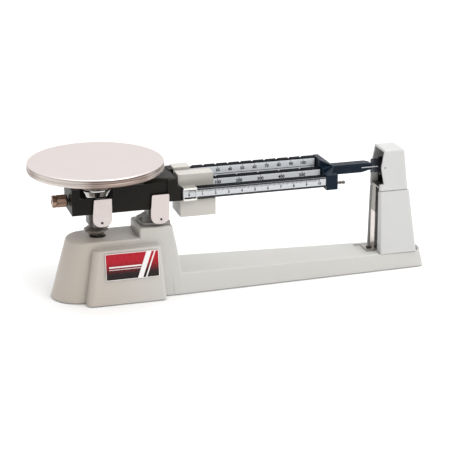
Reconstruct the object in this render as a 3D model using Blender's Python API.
"""Triple beam balance with a stainless pan, three sliding poises and a magnetically damped beam.

The frame is +Z up, +X from the pan towards the damper tower, +Y to the rear. Every length here is in
millimetres, measured from the pan's axis at table level, and solid() turns it into metres. An empty
called balance_frame then puts the origin under the middle of the whole balance.
"""

import math

import bmesh
import bpy

METRES = 0.001
GAP = 0.3                       # clearance between pieces that touch
BELOW = -5.0                    # where cutters that open a piece downwards start
AXES = {"x": 0, "y": 1, "z": 2}

# Driving dimensions
PAN_RADIUS = 76.2               # a 6 inch pan
PAN_TOP = 156.5
BASE_RIGHT = 386.6
FRAME_X = (BASE_RIGHT - PAN_RADIUS) / 2
FULCRUM_X = 68.0
KNIFE_Z = 112.0
LINK_Z = 40.0

# Base, cast in one but kept as four nodes: pedestal, step, label block and bar
WALL = 3.0
RIM_Z = 1.2
PEDESTAL_TOP = 69.0
STEP_TOP = 80.0
STEP_LEFT = 43.0
STEP_ROOF_RELIEF = 0.6
PEDESTAL_LEFT = (-55.0, -33.0)      # at table level and at the step's height
PEDESTAL_RIGHT = (94.5, 81.7)
PEDESTAL_NOSE = (33.0, 22.5)
PEDESTAL_HALF_LEFT = (31.0, 22.5)
PEDESTAL_HALF_RIGHT = (33.8, 22.5)
BLOCK_TOP = 62.0
BLOCK_LEFT = (-22.0, -11.0)         # at table level and at the block's top
BLOCK_RIGHT = (69.0, 65.0)
BLOCK_FRONT = (-45.0, -36.0)
BLOCK_REAR = -14.0
BAR_JOINT_X = (94.8, 90.7)         # where the bar meets the pedestal, at table level and at its top
BAR_HALF = (33.8, 24.3)             # at its left and right ends
BAR_HEIGHT = (25.5, 19.4)
BAR_EDGE_INSET = 3.5
BAR_END_LEAN = 2.6
STEM_HOLE_R = 9.2
CLEARANCE_R = 2.0                   # holes for the stand's and the tower's screws
FOOT_R = 6.5
FOOT_HEIGHT = 3.2
FOOT_PLACES = ((-24.0, -13.5), (-24.0, 13.5), (372.0, -10.5), (372.0, 10.5))
RIDGE_X = (380.2, 383.6)
RIDGE_HALF = 19.0
RIDGE_TOP = 22.8
STAND_SCREW_X = (50.0, 75.0)

# Label plate on the sloping front of the block
LABEL_X = (0.0, 61.0)
LABEL_Z = (28.5, 58.5)
LABEL_THICKNESS = 0.8

# Damper tower
TOWER_Z = (19.8, 94.85)
TOWER_LEFT = (332.6, 331.8)
TOWER_RIGHT = (378.3, 369.0)
TOWER_HALF = (22.9, 17.0)
TOWER_WALL = 2.5
SLOT_FRONT = -12.0
SLOT_X = (320.0, 336.6)
CAP_Z = (95.15, 144.3)
CAP_HALF_TOP = 16.0
CAP_RIGHT_TOP = 361.7
CAP_CORNER = 4.0
INDEX_Z = 123.4
INDEX_X = 333.2
CAP_NOTCH_X = 337.0
REAR_WALL_TOP = 111.0
TOWER_SEAT_X = (330.0, 379.6)
TOWER_SEAT_Z = 19.5
TOWER_SCREW_X = (346.0, 366.0)
RECESS_X = (312.4, 332.6)
RECESS_HALF = 16.5
CAP_OPEN_X = 315.0                  # where the cutters of the cap's open side start

# Damper
STRIP_X = (333.4, 334.9)
STRIP_Y = (0.5, 13.5)
SHELF_Z = (97.0, 98.5)
SHELF_RIGHT = 351.0
FLAP_X = 321.0
FLAP_Y = (-7.0, 13.5)
FLAP_Z = 19.6
FLAP_SCREW = (327.0, 1.0)
YOKE_X = (338.5, 350.0)
YOKE_HALF = 9.0
YOKE_WALL = 2.0
YOKE_TOP = 130.0
MAGNET_Z = (109.0, 128.0)
MAGNET_Y = (2.3, 6.7)
VANE_X = (325.6, 348.0)
VANE_Z = (114.5, 131.0)
VANE_HALF = 0.6

# Pivots and their covers
COVER_Y = (24.7, 26.1)
CROSSBAR_HALF = 24.4
BEARING_Y = (22.4, 24.4)
FULCRUM_COVER = (56.5, 77.0, 84.5, 118.5)
BOW_COVER = (-9.0, 12.0, 86.9, 119.0)
FULCRUM_SCREW = (67.5, 89.8)
BOW_SCREW = (0.5, 91.6)
SCREW_R = 1.1
SCREW_HOLE_R = 1.4
KNIFE_HALF_WIDTH = 2.6
KNIFE_SHOULDER = 3.0
KNIFE_HEIGHT = 5.3
KNIFE_LENGTH = 24.2

# Fulcrum stand
STAND_FLANGE_X = (47.0, 80.0)
STAND_FLANGE_HALF = (16.0, 19.5)    # at its left and right edges
STAND_FLANGE_HEIGHT = 3.4
STAND_POST_X = (57.0, 77.0)
STAND_POST_HALF = 11.0
STAND_SKIRT_TOP = 88.5
CROSSBAR_X = (60.0, 76.0)
CROSSBAR_Z = (86.0, 95.0)

# Beam
HEAD_X = (-32.0, 77.0)
HEAD_HALF = 22.0
HEAD_Z = (101.0, 131.0)
HEAD_WALL = 3.0
NECK_Z = 135.2
SADDLE_X = (-23.0, 15.0)
SADDLE_Z = 120.0
YOKE_PLATE_X = (76.0, 86.0, 91.0)
YOKE_PLATE_HALF = 24.5
YOKE_PLATE_BOTTOM = 109.0
BAR_X = (91.3, 262.7)
FRONT_BAR = (-24.5, -15.5, 109.5, 122.0)
MIDDLE_BAR = (-4.5, 4.5, 112.0, 126.0)
REAR_BAR = (15.5, 24.5, 120.0, 134.0)
BAR_WEB = 4.2
BAR_FLANGE = 2.2
NOTCH_WIDTH = 3.0
NOTCH_DEPTH = 1.4
FRONT_SCALE = (100.0, 15.37, 11)    # zero, pitch and count of the numbered marks
MIDDLE_SCALE = (113.8, 25.2, 6)
REAR_SCALE = (100.5, 14.7, 11)
SCALE_X = (93.0, 261.5)
SCALE_THICKNESS = 0.6
SCALE_EDGE = 0.6
NOTCHED_SCALE_EDGE = 1.0
NOSE_X = 263.0
NOSE_FRONT_BLOCK = ((263.0, 276.5), (-24.5, -14.5), (105.5, 123.0))
NOSE_WEBS = (                       # outer half depth or inner, towards the middle, and height span
    (-24.0, 0.0, (112.0, 123.0)),
    (-12.0, 12.0, (112.5, 127.5)),
    (24.5, 0.0, (120.0, 134.5)),
)
ARM_X = (278.0, 325.3)
ARM_HALF = 6.0
ARM_Z = (117.3, 128.0)
POINTER_X = (312.0, 332.4)
PEG_X = (276.8, 287.0)
PEG_AT = (-20.0, 112.0)
PEG_R = 1.9
PEG_GROOVE_R = 1.3

# Zero adjuster
KNOB_X = (-50.5, -33.2)
KNOB_R = 7.0
KNOB_BORE_R = 4.6
KNOB_BORE_X = -44.9
ZERO_Z = 113.0
STUD_R = 2.0
STUD_X = (-49.0, -26.4)
SPRING_X = (-42.0, -32.8)
SPRING_TURNS = 5
SPRING_R = 3.3
SPRING_WIRE_R = 0.4

# Bow, pan and check link
BOW_HALF_X = 11.0
BOW_CROSS_Z = (86.0, 95.0)
STEM_R = 4.0
STEM_BOTTOM = 34.0
GUARD_R = 13.9
GUARD_X = -1.5
GUARD_Z = (70.4, 82.0)
HUB_Z = 115.8
POST_R = 5.0
POST_TOP = 154.6
LINK_PIN_R = 2.0
LINK_HOLE_R = 2.6
LINK_Z_SPAN = (35.5, 44.5)
BRACKET_Z = (35.0, 76.7)

# Poises
POISE_WALL = 0.8
TUNING_HOLE_R = 6.0
TUNING_HOLE_DEPTH = 13.0
TUNING_HOLE_X = (102.0, 122.6)
FRONT_POISE_X = (93.4, 109.0)
MIDDLE_POISE_X = (91.6, 133.0)
REAR_POISE_X = (91.6, 111.4)
REAR_POISE_BACK = 29.6
REAR_POISE_BOTTOM = 112.6
BLOCK_HALF = 18.0
BLOCK_Z = (87.0, 106.8)
BRIDGE_Z = (126.8, 134.0)


# ---------------------------------------------------------------- shapes

def blend(ends, t):
    """Value between the two ends, t running from 0 to 1."""
    return ends[0] + (ends[1] - ends[0]) * t


def loft(rings):
    """Closed body through rings of equally many points, capped at both ends."""
    bm = bmesh.new()
    loops = [[bm.verts.new(point) for point in ring] for ring in rings]
    count = len(loops[0])
    for low, high in zip(loops, loops[1:]):
        for i in range(count):
            j = (i + 1) % count
            bm.faces.new((low[i], low[j], high[j], high[i]))
    bm.faces.new(loops[0])
    bm.faces.new(loops[-1])
    bmesh.ops.recalc_face_normals(bm, faces=bm.faces)
    return bm


def at(axis, along, across):
    """Point at along on the named axis and across on the other two, in x, y, z order."""
    point = list(across)
    point.insert(AXES[axis], along)
    return tuple(point)


def prism(axis, span, outline):
    """Outline in the other two axes, extruded over the span of the named axis."""
    return loft([[at(axis, end, p) for p in outline] for end in span])


def box(x, y, z):
    """Rectangular block between the two ends of each range."""
    return prism("z", z, [(x[0], y[0]), (x[1], y[0]), (x[1], y[1]), (x[0], y[1])])


def hull(points):
    """Convex body around the points."""
    bm = bmesh.new()
    for point in points:
        bm.verts.new(point)
    made = bmesh.ops.convex_hull(bm, input=bm.verts)
    bmesh.ops.delete(bm, geom=made["geom_interior"], context="VERTS")
    bmesh.ops.recalc_face_normals(bm, faces=bm.faces)
    return bm


def circle(radius, sides, centre=(0.0, 0.0)):
    """Points round a circle about centre."""
    turns = [2 * math.pi * i / sides for i in range(sides)]
    return [(centre[0] + radius * math.cos(a), centre[1] + radius * math.sin(a)) for a in turns]


def turned(axis, centre, profile, sides=24):
    """Solid of revolution: profile lists (radius, place along the axis) from one flat end to the other."""
    return loft([[at(axis, place, p) for p in circle(radius, sides, centre)] for radius, place in profile])


def turned_ring(axis, centre, profile, sides=24):
    """Ring of revolution whose closed profile lists (radius, place along the axis)."""
    bm = bmesh.new()
    loops = []
    for radius, place in profile:
        loops.append([bm.verts.new(at(axis, place, p)) for p in circle(radius, sides, centre)])
    for low, high in zip(loops, loops[1:] + loops[:1]):
        for i in range(sides):
            j = (i + 1) % sides
            bm.faces.new((low[i], low[j], high[j], high[i]))
    bmesh.ops.recalc_face_normals(bm, faces=bm.faces)
    return bm


def rod(axis, centre, radius, span, sides=16):
    """Plain cylinder."""
    return turned(axis, centre, [(radius, span[0]), (radius, span[1])], sides)


def coil(radius, wire_radius, span, turns, centre, steps=12, sides=5):
    """Helical wire about the X axis through centre, given as (y, z)."""
    rings = []
    total = turns * steps
    for i in range(total + 1):
        angle = 2 * math.pi * i / steps
        x = blend(span, i / total)
        ring = []
        for offset_x, offset_r in circle(wire_radius, sides):
            reach = radius + offset_r
            y = centre[0] + reach * math.cos(angle)
            z = centre[1] + reach * math.sin(angle)
            ring.append((x + offset_x, y, z))
        rings.append(ring)
    return loft(rings)


def rounded(corners, radii, steps=3):
    """Closed outline with each corner replaced by an arc of its radius."""
    outline = []
    count = len(corners)
    for i, (corner, radius) in enumerate(zip(corners, radii)):
        if radius == 0:
            outline.append(corner)
            continue
        before = corners[i - 1]
        after = corners[(i + 1) % count]
        arms = []
        for other in (before, after):
            length = math.dist(corner, other)
            arms.append(((other[0] - corner[0]) / length, (other[1] - corner[1]) / length))
        bend = math.acos(arms[0][0] * arms[1][0] + arms[0][1] * arms[1][1])
        reach = radius / math.tan(bend / 2)
        middle = radius / math.sin(bend / 2)
        bisector = (arms[0][0] + arms[1][0], arms[0][1] + arms[1][1])
        scale = middle / math.hypot(*bisector)
        centre = (corner[0] + bisector[0] * scale, corner[1] + bisector[1] * scale)
        start, end = [
            math.atan2(corner[1] + arm[1] * reach - centre[1], corner[0] + arm[0] * reach - centre[0])
            for arm in arms
        ]
        sweep = (end - start + math.pi) % (2 * math.pi) - math.pi
        for step in range(steps + 1):
            angle = start + sweep * step / steps
            outline.append((centre[0] + radius * math.cos(angle), centre[1] + radius * math.sin(angle)))
    return outline


# ---------------------------------------------------------------- objects

def clear_scene():
    """Start from an empty scene."""
    for old in list(bpy.data.objects):
        bpy.data.objects.remove(old)


def pivot(name, place, parent=None):
    """Empty on a joint's axis, at place in the balance's frame."""
    empty = bpy.data.objects.new(name, None)
    empty.empty_display_size = 10 * METRES
    bpy.context.collection.objects.link(empty)
    empty["place"] = place
    origin = parent["place"] if parent else (0.0, 0.0, 0.0)
    empty.parent = parent
    empty.location = [(a - b) * METRES for a, b in zip(place, origin)]
    return empty


def paint(name, colour, roughness, metallic=0.0):
    """Principled material."""
    material = bpy.data.materials.new(name)
    material.use_nodes = True
    shader = material.node_tree.nodes["Principled BSDF"]
    shader.inputs["Base Color"].default_value = (*colour, 1.0)
    shader.inputs["Roughness"].default_value = roughness
    shader.inputs["Metallic"].default_value = metallic
    material.diffuse_color = (*colour, 1.0)
    return material


def raw_object(name, shape):
    """Object of a bmesh, still drawn in millimetres."""
    bmesh.ops.triangulate(shape, faces=shape.faces)
    mesh = bpy.data.meshes.new(name)
    shape.to_mesh(mesh)
    shape.free()
    thing = bpy.data.objects.new(name, mesh)
    bpy.context.collection.objects.link(thing)
    return thing


def carve(thing, steps):
    """Unite each shape with the object, or cut it away, in order."""
    tools = []
    for operation, shape in steps:
        tool = raw_object(thing.name + "_tool", shape)
        tools.append(tool)
        modifier = thing.modifiers.new(operation.title(), "BOOLEAN")
        modifier.operation = operation
        modifier.solver = "EXACT"
        modifier.object = tool
    bpy.context.view_layer.update()
    ready = thing.evaluated_get(bpy.context.evaluated_depsgraph_get())
    mesh = bpy.data.meshes.new_from_object(ready)
    thing.modifiers.clear()
    thing.data = mesh
    for tool in tools:
        bpy.data.objects.remove(tool)


def solid(name, joint, material, parts, cuts=(), ribs=(), holes=()):
    """One closed piece on its joint: parts united, less the cuts, then with ribs added and holes drilled."""
    thing = raw_object(name, parts[0])
    steps = [("UNION", shape) for shape in parts[1:]]
    steps += [("DIFFERENCE", shape) for shape in cuts]
    steps += [("UNION", shape) for shape in ribs]
    steps += [("DIFFERENCE", shape) for shape in holes]
    if steps:
        carve(thing, steps)
    mesh = thing.data
    origin = joint["place"]
    for vert in mesh.vertices:
        vert.co = [(a - b) * METRES for a, b in zip(vert.co, origin)]
    thing.parent = joint
    mesh.name = name
    mesh.materials.clear()
    mesh.materials.append(material)
    mesh.shade_smooth()
    mesh.set_sharp_from_angle(angle=math.radians(30))
    return thing


# ---------------------------------------------------------------- base

def pedestal_outline(z, inset=0.0, steps=10):
    """Plan of the pedestal at height z: straight sides and a rounded left end."""
    t = z / STEP_TOP
    left = blend(PEDESTAL_LEFT, t) + inset
    right = blend(PEDESTAL_RIGHT, t) - inset
    nose = blend(PEDESTAL_NOSE, t) - inset
    half_left = blend(PEDESTAL_HALF_LEFT, t) - inset
    half_right = blend(PEDESTAL_HALF_RIGHT, t) - inset
    outline = [(right, half_right, z), (right, -half_right, z)]
    for i in range(steps + 1):
        angle = math.pi * (i / steps - 0.5)
        outline.append((left + nose - nose * math.cos(angle), half_left * math.sin(angle), z))
    return outline


def block_outline(z, inset=0.0):
    """Plan of the label block at height z."""
    t = z / BLOCK_TOP
    left = blend(BLOCK_LEFT, t) + inset
    right = blend(BLOCK_RIGHT, t) - inset
    front = blend(BLOCK_FRONT, t) + inset
    corners = [(left, BLOCK_REAR), (left, front), (right, front), (right, BLOCK_REAR)]
    return [(x, y, z) for x, y in rounded(corners, (0, 8.0 - inset, 5.0 - inset, 0))]


def bar_section(t, bottom, inset=0.0):
    """Cross-section of the long bar, t running from its left end to its right."""
    half = blend(BAR_HALF, t) - inset
    top = half - BAR_EDGE_INSET
    height = blend(BAR_HEIGHT, t) - inset
    low = blend((BAR_JOINT_X[0] + inset, BASE_RIGHT - inset), t)
    high = blend((BAR_JOINT_X[1] + inset, BASE_RIGHT - BAR_END_LEAN - inset), t)
    return [(low, -half, bottom), (low, half, bottom), (high, top, height), (high, -top, height)]


def block_hollow():
    """Inside of the label block, open downwards and into the pedestal."""
    return loft([block_outline(BELOW, WALL), block_outline(BLOCK_TOP - WALL, WALL)])


def pedestal(joint, material):
    """Left end of the casting: walls with a rounded end and a roof over its left half."""
    roof = PEDESTAL_TOP - WALL
    body = loft([pedestal_outline(RIM_Z), pedestal_outline(PEDESTAL_TOP)])
    cuts = [
        loft([pedestal_outline(BELOW, WALL), pedestal_outline(roof, WALL)]),
        loft([step_hollow_outline(roof - 2.0), step_hollow_outline(PEDESTAL_TOP + 1.0)]),
        block_hollow(),
    ]
    pillars = foot_pillars(FOOT_PLACES[:2], roof + 1.0)
    hole = rod("z", (0.0, 0.0), STEM_HOLE_R, (roof - 5.0, PEDESTAL_TOP + 5.0), 24)
    solid("pedestal", joint, material, [body], cuts, pillars, [hole])


def pedestal_step(joint, material):
    """Raised right half of the casting's top, which the stand is screwed to."""
    floor = PEDESTAL_TOP + GAP
    body = loft([pedestal_outline(floor), pedestal_outline(STEP_TOP)])
    left_half = box((2 * PEDESTAL_LEFT[0], STEP_LEFT), (-60.0, 60.0), (floor - 5.0, STEP_TOP + 5.0))
    hollow = loft([step_hollow_outline(floor - 1.0), step_hollow_outline(STEP_TOP - WALL)])
    holes = [clearance_hole((x, 0.0), STEP_TOP) for x in STAND_SCREW_X]
    solid("pedestal_step", joint, material, [body], [left_half, hollow], (), holes)


def label_block(joint, material):
    """Block on the pedestal's front that carries the label."""
    body = loft([block_outline(RIM_Z), block_outline(BLOCK_TOP)])
    pedestal_space = loft([pedestal_outline(BELOW, -GAP), pedestal_outline(STEP_TOP, -GAP)])
    solid("label_block", joint, material, [body], [pedestal_space, block_hollow()])


def clearance_hole(place, height):
    """Drill for a screw through a wall whose outer face is at height."""
    return rod("z", place, CLEARANCE_R, (height - 6.0, height + 5.0), 12)


def base_bar(joint, material):
    """Long hollow bar that carries the tower, with a recess for the bracket's foot."""
    parts = [
        loft([bar_section(0.0, RIM_Z), bar_section(1.0, RIM_Z)]),
        box(RIDGE_X, (-RIDGE_HALF, RIDGE_HALF), (15.0, RIDGE_TOP)),
    ]
    hollow = loft([bar_section(0.0, BELOW, WALL), bar_section(1.0, BELOW, WALL)])
    pillars = foot_pillars(FOOT_PLACES[2:], BAR_HEIGHT[1] - 1.5)
    holes = [
        box(RECESS_X, (-RECESS_HALF, RECESS_HALF), (FLAP_Z - GAP, 30.0)),
        box(TOWER_SEAT_X, (-30.0, 30.0), (TOWER_SEAT_Z, 30.0)),
        clearance_hole(FLAP_SCREW, FLAP_Z),
    ]
    holes += [clearance_hole((x, 0.0), TOWER_SEAT_Z) for x in TOWER_SCREW_X]
    solid("base_bar", joint, material, parts, [hollow], pillars, holes)


def foot_pillars(places, top):
    """Round pillars inside the casting that the feet are pressed on."""
    return [rod("z", place, FOOT_R - 0.5, (FOOT_HEIGHT + GAP, top), 12) for place in places]


def step_hollow_outline(z):
    """Plan of the hollow under the raised step."""
    t = z / STEP_TOP
    left = STEP_LEFT + WALL
    right = blend(PEDESTAL_RIGHT, t) - WALL - STEP_ROOF_RELIEF
    half = blend(PEDESTAL_HALF_LEFT, t) - WALL - STEP_ROOF_RELIEF
    return [(left, -half, z), (right, -half, z), (right, half, z), (left, half, z)]


def label_plate(joint, material):
    """Thin plate on the sloping front of the block."""
    height = BLOCK_TOP
    run = BLOCK_FRONT[1] - BLOCK_FRONT[0]
    length = math.hypot(height, run)
    outward = (-height / length, run / length)
    points = []
    for z in LABEL_Z:
        y = blend(BLOCK_FRONT, z / BLOCK_TOP)
        for depth in (GAP, GAP + LABEL_THICKNESS):
            for x in LABEL_X:
                points.append((x, y + outward[0] * depth, z + outward[1] * depth))
    solid("label_plate", joint, material, [hull(points)])


def feet(joint, material):
    """Rubber discs under the four pillars."""
    for number, (x, y) in enumerate(FOOT_PLACES, 1):
        profile = [(FOOT_R - 1.0, 0.0), (FOOT_R, 1.0), (FOOT_R, FOOT_HEIGHT)]
        solid(f"rubber_foot_{number}", joint, material, [turned("z", (x, y), profile, 20)])


# ---------------------------------------------------------------- tower

def tower_half(z):
    """Half depth of the tower at height z."""
    if z <= TOWER_Z[1]:
        return blend(TOWER_HALF, (z - TOWER_Z[0]) / (TOWER_Z[1] - TOWER_Z[0]))
    return blend((TOWER_HALF[1], CAP_HALF_TOP), (z - TOWER_Z[1]) / (CAP_Z[1] - TOWER_Z[1]))


def tapered(outline, inset=0.0):
    """Body whose side view is outline and whose depth follows the tower's."""
    front = [(x, -(tower_half(z) - inset), z) for x, z in outline]
    rear = [(x, tower_half(z) - inset, z) for x, z in outline]
    return loft([front, rear])


def tower_shell(joint, material):
    """Lower part of the tower: a tapering box with a floor, open on top and down its left side."""
    low, high = TOWER_Z
    wall = TOWER_WALL
    left = TOWER_LEFT[1] + wall
    right = TOWER_RIGHT[1] - wall
    half = TOWER_HALF[1] - wall
    outline = [(TOWER_LEFT[0], low), (TOWER_RIGHT[0], low), (TOWER_RIGHT[1], high), (TOWER_LEFT[1], high)]
    floor_right = blend(TOWER_RIGHT, wall / (high - low)) - wall
    inner = [(TOWER_LEFT[0] + wall, low + wall), (floor_right, low + wall), (right, high), (left, high)]
    top = box((left, right), (-half, half), (high - 1.0, high + 5.0))
    slot = hull(
        [(x, SLOT_FRONT, z) for x in SLOT_X for z in (low - 5.0, high + 5.0)]
        + [(x, TOWER_HALF[0] - wall, low - 5.0) for x in SLOT_X]
        + [(x, half, high + 5.0) for x in SLOT_X]
    )
    holes = [clearance_hole((x, 0.0), low + wall) for x in TOWER_SCREW_X]
    solid("tower", joint, material, [tapered(outline)], [tapered(inner, wall), top, slot, *holes])


def tower_cap(joint, material):
    """Upper part of the tower, open to the left, with a pointed index edge on each side wall."""
    low, high = CAP_Z
    wall = TOWER_WALL
    left = TOWER_LEFT[1]
    right = TOWER_RIGHT[1]
    corners = [
        (left, low),
        (right, low),
        (CAP_RIGHT_TOP, high),
        (CAP_NOTCH_X, high),
        (INDEX_X, INDEX_Z),
        (left - 0.2, REAR_WALL_TOP),
    ]
    outline = rounded(corners, (0, 0, CAP_CORNER, 0, 0, 0), 4)
    roof = high - wall
    inner_right = (right - wall + 0.75, CAP_RIGHT_TOP - wall + 0.3)
    inner = [(CAP_OPEN_X, low - 5.0), (inner_right[0], low - 5.0), (inner_right[1], roof), (CAP_OPEN_X, roof)]
    leg = [(CAP_OPEN_X, 103.0), (CAP_NOTCH_X, 103.4), (INDEX_X, INDEX_Z), (CAP_OPEN_X, INDEX_Z + 1.0)]
    front_leg = prism("y", (-30.0, 0.0), leg)
    solid("tower_cap", joint, material, [tapered(outline)], [tapered(inner, wall), front_leg])


def damper(joint, steel, iron, magnet_grey, dark):
    """Sheet bracket in the tower's open side, with the magnets that the vane swings between."""
    strip = box(STRIP_X, STRIP_Y, (FLAP_Z, SHELF_Z[1]))
    flap = box((FLAP_X, STRIP_X[1]), FLAP_Y, (FLAP_Z, FLAP_Z + 1.5))
    shelf = box((STRIP_X[0], SHELF_RIGHT), (-YOKE_HALF - 0.5, STRIP_Y[1]), SHELF_Z)
    hole = clearance_hole(FLAP_SCREW, FLAP_Z + 1.5)
    solid("damper_bracket", joint, steel, [strip, flap, shelf], [hole])
    head = FLAP_Z + 1.5 + GAP
    profile = [(1.4, head - 7), (1.4, head), (3.4, head), (3.0, head + 1.6)]
    solid("damper_screw", joint, dark, [turned("z", FLAP_SCREW, profile, 20)])
    floor = SHELF_Z[1] + GAP
    outer = YOKE_HALF
    inner = YOKE_HALF - YOKE_WALL
    outline = [
        (-outer, floor),
        (outer, floor),
        (outer, YOKE_TOP),
        (inner, YOKE_TOP),
        (inner, floor + YOKE_WALL),
        (-inner, floor + YOKE_WALL),
        (-inner, YOKE_TOP),
        (-outer, YOKE_TOP),
    ]
    solid("magnet_yoke", joint, iron, [prism("x", YOKE_X, outline)])
    for side, name in ((-1, "damper_magnet_front"), (1, "damper_magnet_rear")):
        across = sorted(side * y for y in MAGNET_Y)
        solid(name, joint, magnet_grey, [box((YOKE_X[0] + 0.5, YOKE_X[1] - 0.5), across, MAGNET_Z)])


# ---------------------------------------------------------------- pivots

def cover(name, joint, material, extent, screw, side):
    """Bearing cover plate: square top, bulged left edge and a round bottom."""
    left, right, bottom, top = extent
    bulge = left - 0.5
    corners = [(left + 1.0, top), (right, top), (right, bottom), (bulge, bottom), (bulge, bottom + 16.0)]
    outline = rounded(corners, (1.2, 1.2, 8.5, 8.5, 2.0), 5)
    span = sorted(side * y for y in COVER_Y)
    hole = rod("y", screw, SCREW_HOLE_R, (min(span) - 3, max(span) + 3), 14)
    solid(name, joint, material, [prism("y", span, outline)], [hole])


def cover_screw(name, joint, material, screw, side):
    """Countersunk screw through a cover plate into the crossbar behind it."""
    span = sorted((side * (COVER_Y[1] - 0.2), side * 20.0))
    solid(name, joint, material, [rod("y", screw, SCREW_R, span, 14)])


def bearing(name, joint, material, x, side, upward):
    """Block with a V groove that the knife's edge rests in."""
    v_width = 3.5
    v_depth = 2.3
    half = 6.0
    root = KNIFE_Z - upward * GAP
    mouth = root + upward * v_depth
    back = root - upward * 8.0
    outline = [
        (x - half, back),
        (x + half, back),
        (x + half, mouth),
        (x + v_width, mouth),
        (x, root),
        (x - v_width, mouth),
        (x - half, mouth),
    ]
    span = sorted(side * y for y in BEARING_Y)
    solid(name, joint, material, [prism("y", span, outline)])


def knife(name, joint, material, x, upward):
    """Hardened knife whose edge is on the pivot's axis."""
    shoulder = KNIFE_Z - upward * KNIFE_SHOULDER
    back = KNIFE_Z - upward * KNIFE_HEIGHT
    outline = [
        (x, KNIFE_Z),
        (x + KNIFE_HALF_WIDTH, shoulder),
        (x + KNIFE_HALF_WIDTH, back),
        (x - KNIFE_HALF_WIDTH, back),
        (x - KNIFE_HALF_WIDTH, shoulder),
    ]
    solid(name, joint, material, [prism("y", (-KNIFE_LENGTH, KNIFE_LENGTH), outline)])


def fulcrum_stand(joint, material):
    """Dark stand on the step, with a crossbar under the beam that carries the covers and bearings."""
    floor = STEP_TOP + GAP
    left, right = STAND_FLANGE_X
    near, far = STAND_FLANGE_HALF
    half = STAND_POST_HALF
    plan = rounded([(left, -near), (right, -far), (right, far), (left, near)], (8, 2, 2, 8))
    flange = prism("z", (floor, floor + STAND_FLANGE_HEIGHT), plan)
    foot = [(x, y, floor + 3.0) for x in (left + 2.5, right - 1.0) for y in (-half - 3.0, half + 3.0)]
    top = [(x, y, STAND_SKIRT_TOP) for x in STAND_POST_X for y in (-half, half)]
    post = box(STAND_POST_X, (-half, half), (CROSSBAR_Z[0], CROSSBAR_Z[1] + 1.5))
    crossbar = box(CROSSBAR_X, (-CROSSBAR_HALF, CROSSBAR_HALF), CROSSBAR_Z)
    holes = [clearance_hole((x, 0.0), floor + 1.5) for x in STAND_SCREW_X]
    holes += cover_screw_holes(FULCRUM_SCREW)
    solid("fulcrum_stand", joint, material, [flange, hull(foot + top), post, crossbar], holes)


def cover_screw_holes(screw):
    """Holes for the cover plates' screws in both ends of a crossbar."""
    deep = 19.5
    outside = 30.0
    return [rod("y", screw, SCREW_HOLE_R, span, 14) for span in ((-outside, -deep), (deep, outside))]


def stand_screws(joint, material):
    """Screws from below through the link bracket and the step into the stand."""
    for x, name in zip(STAND_SCREW_X, ("stand_screw_left", "stand_screw_right")):
        profile = [(3.0, 71.2), (3.3, 71.6), (3.3, 74.1), (1.6, 74.1), (1.6, 84.0)]
        solid(name, joint, material, [turned("z", (x, 0.0), profile, 12)])


def link_bracket(joint, material):
    """Two ears hanging from the step's roof, with the check link's fixed pivot."""
    low, high = BRACKET_Z
    flange = box((46.5, 78.0), (-9.0, 9.0), (high - 2.3, high))
    ears = [box((63.0, 73.0), sorted((side * 3.6, side * 6.2)), (low, high - 1.0)) for side in (-1, 1)]
    holes = [clearance_hole((x, 0.0), high) for x in STAND_SCREW_X]
    holes.append(rod("y", (FULCRUM_X, LINK_Z), LINK_PIN_R + GAP, (-10.0, 10.0), 16))
    solid("link_bracket", joint, material, [flange, *ears], holes)


# ---------------------------------------------------------------- beam

def beam_head(joint, material):
    """Left casting of the beam: a channel open below, with a saddle over the load pivot and a yoke."""
    left, right = HEAD_X
    low, high = HEAD_Z
    wall = HEAD_WALL
    near, step, far = YOKE_PLATE_X
    wide = YOKE_PLATE_HALF
    under = YOKE_PLATE_BOTTOM
    channel = box((left, right), (-HEAD_HALF, HEAD_HALF), (low, high))
    neck = hull(
        [(x, y, high - 2.0) for x, half in ((44.0, 19.0), (87.0, wide)) for y in (-half, half)]
        + [(x, y, NECK_Z) for x, half in ((60.0, 17.0), (85.8, 23.0)) for y in (-half, half)]
    )
    plates = [
        box((near, step), (-wide, wide), (under, NECK_Z - 0.4)),
        box((step - 1, far), (-wide, -9.0), (under, 125.0)),
        box((step - 1, far), (-9.5, 9.5), (under, 130.0)),
        box((step - 1, far), (9.0, wide), (under, 136.0)),
    ]
    hollow = box((left + wall, 73.0), (wall - HEAD_HALF, HEAD_HALF - wall), (low - 5.0, high - wall))
    saddle = box(SADDLE_X, (-40.0, 40.0), (SADDLE_Z, high + 20.0))
    grip = KNIFE_HALF_WIDTH + GAP
    rise = KNIFE_HEIGHT + GAP
    fulcrum_hole = box((FULCRUM_X - grip, FULCRUM_X + grip), (-40.0, 40.0), (KNIFE_Z - GAP, KNIFE_Z + rise))
    load_hole = box((-grip, grip), (-40.0, 40.0), (KNIFE_Z - rise, KNIFE_Z + GAP))
    stud_hole = rod("x", (0.0, ZERO_Z), STUD_R + GAP, (left - 5.0, left + wall + 2.0), 16)
    cuts = [hollow, saddle, fulcrum_hole, load_hole, stud_hole]
    solid("beam_head", joint, material, [channel, neck, *plates], cuts)


def notched_top(low, high, notches):
    """Side outline of a bar, with V notches in its top edge."""
    outline = [(BAR_X[0], low), (BAR_X[1], low), (BAR_X[1], high)]
    for x in reversed(notches):
        outline.append((x + NOTCH_WIDTH / 2, high))
        outline.append((x, high - NOTCH_DEPTH))
        outline.append((x - NOTCH_WIDTH / 2, high))
    outline.append((BAR_X[0], high))
    return outline


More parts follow.
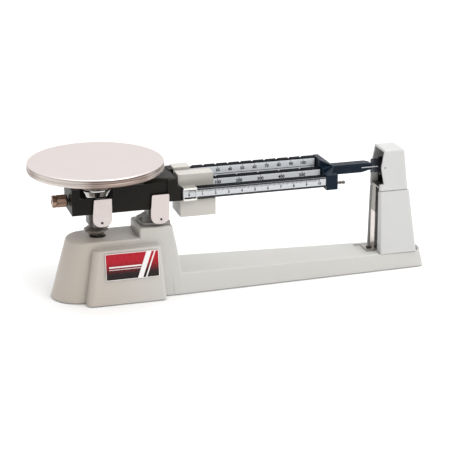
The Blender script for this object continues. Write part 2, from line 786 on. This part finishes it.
def beam_bar(name, joint, material, extent, notches=()):
    """One of the three beams: a channel open to the rear."""
    front, rear, low, high = extent
    bar = prism("y", (front, rear), notched_top(low, high, notches))
    length = (BAR_X[0] + 4.0, BAR_X[1] - 4.0)
    groove = box(length, (front + BAR_WEB, rear + 5.0), (low + BAR_FLANGE, high - BAR_FLANGE - 0.8))
    solid(name, joint, material, [bar], [groove])


def scale_plate(name, joint, material, extent, edges):
    """Thin scale strip on the front face of a bar."""
    front, _, low, high = extent
    span = (front - GAP - SCALE_THICKNESS, front - GAP)
    solid(name, joint, material, [box(SCALE_X, span, (low + edges[0], high - edges[1]))])


def marks(scale):
    """Places of a scale's numbered marks."""
    zero, pitch, count = scale
    return [zero + pitch * i for i in range(count)]


def beam_bars(joint, black, faces):
    """The three beams, stepped upwards to the rear, and their scales."""
    beam_bar("beam_bar_front", joint, black, FRONT_BAR)
    beam_bar("beam_bar_middle", joint, black, MIDDLE_BAR, marks(MIDDLE_SCALE))
    beam_bar("beam_bar_rear", joint, black, REAR_BAR, marks(REAR_SCALE))
    scale_plate("scale_front", joint, faces, FRONT_BAR, (1.2, SCALE_EDGE))
    scale_plate("scale_middle", joint, faces, MIDDLE_BAR, (0.2, NOTCHED_SCALE_EDGE))
    scale_plate("scale_rear", joint, faces, REAR_BAR, (0.2, NOTCHED_SCALE_EDGE))


def beam_nose(joint, material):
    """Right casting: gathers the three beams into the arm that enters the tower."""
    root = [(ARM_X[0], y, z) for y in (-ARM_HALF, ARM_HALF) for z in ARM_Z]
    webs = []
    for outer, inner, span in NOSE_WEBS:
        ends = [(NOSE_X, outer), (NOSE_X, inner)]
        if inner == 0.0:
            ends.append((NOSE_X + 6.0, outer))
        webs.append(hull([(x, y, z) for x, y in ends for z in span] + root))
    arm = loft([[(x, y, z) for x, z in arm_outline()] for y in (-ARM_HALF, ARM_HALF)])
    solid("beam_nose", joint, material, [box(*NOSE_FRONT_BLOCK), *webs, arm])


def arm_outline():
    """Side view of the arm, with a tapered tip."""
    low, high = ARM_Z
    left = ARM_X[0] - 4.0
    tip = ARM_X[1]
    return [(left, low), (312.0, low), (tip, low + 2.9), (tip, high - 1.6), (319.0, high), (left, high)]


def beam_fittings(joint, white, steel, vane_metal):
    """Pointer, damping vane and attachment peg at the right end."""
    side = -ARM_HALF - GAP
    pointer = box(POINTER_X, (side - 0.6, side), (INDEX_Z - 0.7, INDEX_Z + 0.2))
    solid("pointer", joint, white, [pointer])
    solid("damping_vane", joint, vane_metal, [box(VANE_X, (-VANE_HALF, VANE_HALF), VANE_Z)])
    left, right = PEG_X
    profile = [(PEG_R, left)]
    for groove in (1.5, 5.0):
        for radius, along in ((PEG_R, 0.0), (PEG_GROOVE_R, 0.5), (PEG_GROOVE_R, 1.5), (PEG_R, 2.0)):
            profile.append((radius, left + groove + along))
    profile += [(PEG_R, right - 0.6), (PEG_R - 0.7, right)]
    solid("weight_peg", joint, steel, [turned("x", PEG_AT, profile, 14)])


def zero_stud(joint, steel):
    """Threaded stud in the head's end wall, and the spring that keeps the zero knob from drifting."""
    place = (0.0, ZERO_Z)
    left, right = STUD_X
    end = HEAD_X[0] + HEAD_WALL + GAP
    profile = [(STUD_R - 0.4, left), (STUD_R, left + 0.5), (STUD_R, end), (4.0, end), (4.0, right)]
    solid("zero_stud", joint, steel, [turned("x", place, profile, 20)])
    wire = coil(SPRING_R, SPRING_WIRE_R, SPRING_X, SPRING_TURNS, place)
    solid("zero_spring", joint, steel, [wire])


def zero_knob(knob_joint, washer_joint, brass, steel):
    """Knurled knob on the stud, and the washer between it and the spring."""
    left, right = KNOB_X
    bore = STUD_R + GAP
    profile = [
        (bore, left),
        (KNOB_R - 1.0, left),
        (KNOB_R, left + 1.0),
        (KNOB_R, right - 1.0),
        (KNOB_R - 1.0, right),
        (KNOB_BORE_R, right),
        (KNOB_BORE_R, KNOB_BORE_X),
        (bore, KNOB_BORE_X),
    ]
    solid("zero_knob", knob_joint, brass, [turned_ring("x", (0.0, ZERO_Z), profile, 32)])
    seat = KNOB_BORE_X + GAP
    profile = [(bore, seat), (4.2, seat), (4.2, seat + 1.0), (bore, seat + 1.0)]
    solid("zero_washer", washer_joint, steel, [turned_ring("x", (0.0, ZERO_Z), profile, 20)])


# ---------------------------------------------------------------- bow and pan

def bow_frame(joint, material):
    """Dark frame that hangs on the load knife: crossbar, two legs round the knife and the stem."""
    low, high = BOW_CROSS_Z
    wide = BOW_HALF_X
    plan = rounded([(-wide, -12.0), (wide, -12.0), (wide, 12.0), (-wide, 12.0)], (4, 4, 4, 4))
    hub = prism("z", (low - 2.0, high + 3.0), plan)
    crossbar = box((-8.0, 8.0), (-CROSSBAR_HALF, CROSSBAR_HALF), (low, high))
    rise = (high + 1.0, HUB_Z - GAP)
    legs = [box(sorted((side * 6.5, side * 10.5)), (-7.0, 7.0), rise) for side in (-1, 1)]
    stem = rod("z", (0.0, 0.0), STEM_R, (STEM_BOTTOM, low), 16)
    pin_hole = rod("y", (0.0, LINK_Z), LINK_PIN_R + GAP, (-10.0, 10.0), 14)
    holes = [pin_hole, *cover_screw_holes(BOW_SCREW)]
    solid("bow_frame", joint, material, [hub, crossbar, *legs, stem], holes)


def stem_guard(joint, material):
    """Dish on the stem that covers the hole in the pedestal."""
    low, high = GUARD_Z
    profile = [
        (6.4, low),
        (7.2, low + 1.4),
        (GUARD_R, low + 5.8),
        (GUARD_R - 0.5, low + 7.4),
        (8.0, high - 2.0),
        (6.0, high),
    ]
    dish = turned("z", (GUARD_X, 0.0), profile)
    bore = rod("z", (0.0, 0.0), STEM_R + GAP, (low - 5.0, high + 5.0), 20)
    solid("stem_guard", joint, material, [dish], [bore])


def stem_pin(joint, material):
    """Pin through the foot of the stem that the check link's fork holds."""
    solid("stem_pin", joint, material, [rod("y", (0.0, LINK_Z), LINK_PIN_R, (-7.6, 7.6), 14)])


def pan_hub(joint, material):
    """Polished cone on the bow's legs, with the post that the pan is set on."""
    rim = 17.5
    profile = [
        (12.5, HUB_Z),
        (rim, 124.6),
        (rim, 126.4),
        (7.0, 127.4),
        (POST_R, 129.0),
        (POST_R, POST_TOP - 0.8),
        (POST_R - 0.8, POST_TOP),
    ]
    solid("pan_hub", joint, material, [turned("z", (0.0, 0.0), profile, 28)])


def pan(joint, steel, grey):
    """Stainless pan with a rolled rim, and the socket under it that drops over the post."""
    r = PAN_RADIUS
    top = PAN_TOP
    sheet = top - 1.2
    profile = [
        (r - 1.6, top),
        (r - 0.5, top - 0.7),
        (r - 0.3, top - 4.0),
        (r - 1.0, top - 4.5),
        (r - 1.0, top - 5.2),
        (r, top - 6.0),
        (r, top - 8.6),
        (r - 0.8, top - 9.5),
        (r - 2.2, top - 9.5),
        (r - 2.2, sheet - 1.0),
        (r - 3.2, sheet),
    ]
    solid("pan", joint, steel, [turned("z", (0.0, 0.0), profile, 64)])
    solid("pan_socket", joint, grey, [turned_ring("z", (0.0, 0.0), socket_profile(sheet - GAP), 24)])


def socket_profile(under):
    """Ring profile of the socket: a flange against the pan, whose underside is at under, and a collar."""
    bore = POST_R + GAP
    flange = under - 1.4
    mouth = under - 7.0
    return [(bore, under), (24.0, under), (24.0, flange), (9.0, flange), (8.0, mouth), (bore, mouth)]


def check_link(joint, material):
    """Link from the bracket to the stem's foot, parallel to the beam, which keeps the pan level."""
    fork = box((6.2, 10.0), (-7.2, 7.2), LINK_Z_SPAN)
    ears = [box((-4.5, 9.0), sorted((side * 4.7, side * 7.2)), LINK_Z_SPAN) for side in (-1, 1)]
    web = box((8.0, FULCRUM_X), (-3.0, 3.0), (LINK_Z - 3.0, LINK_Z + 3.0))
    eye = rod("y", (FULCRUM_X, LINK_Z), 4.6, (-3.2, 3.2), 20)
    holes = [rod("y", (x, LINK_Z), LINK_HOLE_R, (-12.0, 12.0), 16) for x in (0.0, FULCRUM_X)]
    solid("check_link", joint, material, [fork, *ears, web, eye], holes)


# ---------------------------------------------------------------- poises

def poise_front(joint, material):
    """Thin clip round the front beam, with a window over the scale."""
    front, rear, low, high = FRONT_BAR
    left, right = FRONT_POISE_X
    wall = POISE_WALL
    inner_y = (front - SCALE_THICKNESS - 2 * GAP, rear + GAP)
    inner_z = (low - GAP, high + GAP)
    outer_y = (inner_y[0] - wall, inner_y[1] + wall)
    outer_z = (inner_z[0] - wall, inner_z[1] + wall)
    sleeve = box((left - 5.0, right + 5.0), inner_y, inner_z)
    window = box((left + 0.9, right - 0.9), (front - 10.0, front - 0.5), (low + 1.0, high - 1.2))
    solid("poise_front", joint, material, [box((left, right), outer_y, outer_z)], [sleeve, window])


def poise_middle(joint, material):
    """Bridge over the middle beam, cheeks down through the gaps, and a heavy block under the beams."""
    left, right = MIDDLE_POISE_X
    span = (left, right)
    bridge = box(span, (-8.0, 9.0), BRIDGE_Z)
    cheeks = [box(span, (-8.0, -6.3), (100.0, 130.0)), box(span, (6.3, 8.0), (100.0, 130.0))]
    block = box(span, (-BLOCK_HALF, BLOCK_HALF), BLOCK_Z)
    bottom = BLOCK_Z[0]
    depth = (bottom - 5.0, bottom + TUNING_HOLE_DEPTH)
    tuning = [rod("z", (x, 0.0), TUNING_HOLE_R, depth, 20) for x in TUNING_HOLE_X]
    solid("poise_middle", joint, material, [bridge, *cheeks, block], tuning)


def poise_rear(joint, material):
    """Saddle round the rear beam, with its weight hanging behind and below it."""
    front, rear, low, high = REAR_BAR
    left, right = REAR_POISE_X
    outer = box((left, right), (front - 2.4, REAR_POISE_BACK), (REAR_POISE_BOTTOM, high + 2.4))
    inner = box((left - 5, right + 5), (front - 1.2, rear + GAP), (low - GAP, high + GAP))
    window = box((left + 2.5, right - 2.5), (front - 10.0, front - 0.5), (low + 3.0, high - 4.0))
    solid("poise_rear", joint, material, [outer], [inner, window])


# ---------------------------------------------------------------- assembly

def build_base(frame):
    """Everything that stays still."""
    grey = paint("base_grey", (0.62, 0.60, 0.56), 0.45)
    for piece in (pedestal, pedestal_step, label_block, base_bar):
        piece(frame, grey)
    label_plate(frame, paint("label_red", (0.45, 0.02, 0.04), 0.3))
    feet(frame, paint("foot_rubber", (0.03, 0.03, 0.03), 0.85))
    tower_paint = paint("tower_grey", (0.66, 0.65, 0.62), 0.45)
    tower_shell(frame, tower_paint)
    tower_cap(frame, tower_paint)
    bright = paint("bracket_steel", (0.62, 0.61, 0.59), 0.3, 1.0)
    dark_steel = paint("screw_dark", (0.12, 0.12, 0.12), 0.4, 1.0)
    iron = paint("yoke_iron", (0.2, 0.2, 0.2), 0.6, 1.0)
    magnet_grey = paint("magnet", (0.3, 0.3, 0.3), 0.4, 1.0)
    damper(frame, bright, iron, magnet_grey, dark_steel)
    fulcrum_stand(frame, paint("stand_black", (0.05, 0.05, 0.05), 0.5))
    stand_screws(frame, dark_steel)
    link_bracket(frame, bright)
    solid("link_pin", frame, bright, [rod("y", (FULCRUM_X, LINK_Z), LINK_PIN_R, (-7.0, 7.0), 14)])
    satin = paint("cover_satin", (0.78, 0.74, 0.73), 0.35, 0.9)
    agate = paint("agate", (0.45, 0.2, 0.12), 0.15)
    for side, place in ((-1, "front"), (1, "rear")):
        cover(f"fulcrum_cover_{place}", frame, satin, FULCRUM_COVER, FULCRUM_SCREW, side)
        cover_screw(f"fulcrum_cover_screw_{place}", frame, dark_steel, FULCRUM_SCREW, side)
        bearing(f"fulcrum_bearing_{place}", frame, agate, FULCRUM_X, side, 1)


def build_beam(beam):
    """Everything that tilts as one on the fulcrum knife."""
    black = paint("beam_black", (0.035, 0.033, 0.032), 0.35)
    blue_black = paint("nose_black", (0.02, 0.028, 0.04), 0.3)
    steel = paint("bright_steel", (0.6, 0.6, 0.6), 0.25, 1.0)
    beam_head(beam, black)
    beam_bars(beam, black, paint("scale_face", (0.55, 0.6, 0.66), 0.35, 0.3))
    beam_nose(beam, blue_black)
    white = paint("pointer_white", (0.8, 0.8, 0.8), 0.4)
    beam_fittings(beam, white, steel, paint("vane", (0.5, 0.5, 0.52), 0.3, 1.0))
    knife("fulcrum_knife", beam, steel, FULCRUM_X, -1)
    knife("load_knife", beam, steel, 0.0, 1)
    zero_stud(beam, steel)


def build_bow(bow):
    """The pan's carrier on the load knife."""
    black = paint("bow_black", (0.05, 0.05, 0.05), 0.5)
    satin = paint("bow_satin", (0.78, 0.74, 0.73), 0.35, 0.9)
    dark_steel = paint("bow_screw_dark", (0.12, 0.12, 0.12), 0.4, 1.0)
    agate = paint("bow_agate", (0.45, 0.2, 0.12), 0.15)
    bow_frame(bow, black)
    stem_guard(bow, black)
    stem_pin(bow, paint("pin_steel", (0.6, 0.6, 0.6), 0.25, 1.0))
    pan_hub(bow, paint("hub_chrome", (0.7, 0.7, 0.7), 0.1, 1.0))
    for side, place in ((-1, "front"), (1, "rear")):
        cover(f"bow_cover_{place}", bow, satin, BOW_COVER, BOW_SCREW, side)
        cover_screw(f"bow_cover_screw_{place}", bow, dark_steel, BOW_SCREW, side)
        bearing(f"load_bearing_{place}", bow, agate, 0.0, side, -1)


def build_poises(beam):
    """The three poises, each on the pivot at its scale's zero."""
    clip = paint("clip_bright", (0.75, 0.75, 0.74), 0.25, 1.0)
    grey = paint("poise_grey", (0.66, 0.66, 0.64), 0.35)
    poise_front(pivot("front_poise_slide", (FRONT_SCALE[0], 0.0, FRONT_BAR[3]), beam), clip)
    poise_middle(pivot("middle_poise_slide", (MIDDLE_SCALE[0], 0.0, MIDDLE_BAR[3]), beam), grey)
    poise_rear(pivot("rear_poise_slide", (REAR_SCALE[0], 0.0, REAR_BAR[3]), beam), grey)


def build_zero_adjuster(beam):
    """The knob that screws along the stud, and its washer, which only slides."""
    washer = pivot("zero_washer_slide", (KNOB_BORE_X, 0.0, ZERO_Z), beam)
    knob = pivot("zero_knob_axis", (KNOB_X[0], 0.0, ZERO_Z), washer)
    brass = paint("knob_brass", (0.45, 0.3, 0.24), 0.2, 1.0)
    zero_knob(knob, washer, brass, paint("washer_steel", (0.5, 0.5, 0.5), 0.3, 1.0))


def main():
    """Builds the balance at rest, with every poise at zero."""
    clear_scene()
    frame = pivot("balance_frame", (0.0, 0.0, 0.0))
    frame.location = (-FRAME_X * METRES, 0.0, 0.0)
    beam = pivot("beam_pivot", (FULCRUM_X, 0.0, KNIFE_Z), frame)
    bow = pivot("bow_pivot", (0.0, 0.0, KNIFE_Z), beam)
    pan_seat = pivot("pan_seat", (0.0, 0.0, POST_TOP), bow)
    link = pivot("link_pivot", (FULCRUM_X, 0.0, LINK_Z), frame)
    build_base(frame)
    build_beam(beam)
    build_zero_adjuster(beam)
    build_bow(bow)
    stainless = paint("pan_stainless", (0.72, 0.68, 0.66), 0.3, 1.0)
    pan(pan_seat, stainless, paint("socket_grey", (0.4, 0.4, 0.4), 0.4, 1.0))
    check_link(link, paint("link_steel", (0.5, 0.5, 0.5), 0.35, 1.0))
    build_poises(beam)


main()
